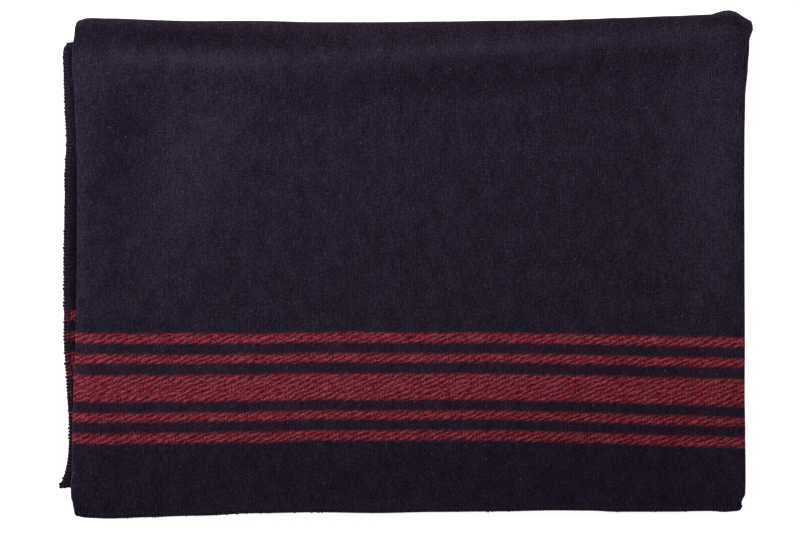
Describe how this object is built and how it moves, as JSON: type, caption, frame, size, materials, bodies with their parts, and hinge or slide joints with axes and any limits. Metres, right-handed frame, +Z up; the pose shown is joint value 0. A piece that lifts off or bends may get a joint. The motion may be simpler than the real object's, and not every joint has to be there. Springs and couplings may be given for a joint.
{
  "type": "folded wool blanket",
  "caption": "Navy wool blanket with red stripes near its ends, overlocked edges, folded into a flat rectangular stack.",
  "frame": {"origin": "middle of the stack's outline, on the surface it rests on", "axes": "+X along the stripes, from the tucked flap towards the side fold; +Y towards the fold that wraps the stack; +Z up"},
  "size_m": [0.8142, 0.5956, 0.0435],
  "materials": {
    "wool_cloth": "matt, lightly brushed twill"
  },
  "bodies": {
    "root": {"blanket": "wool_cloth"}
  },
  "joints": []
}
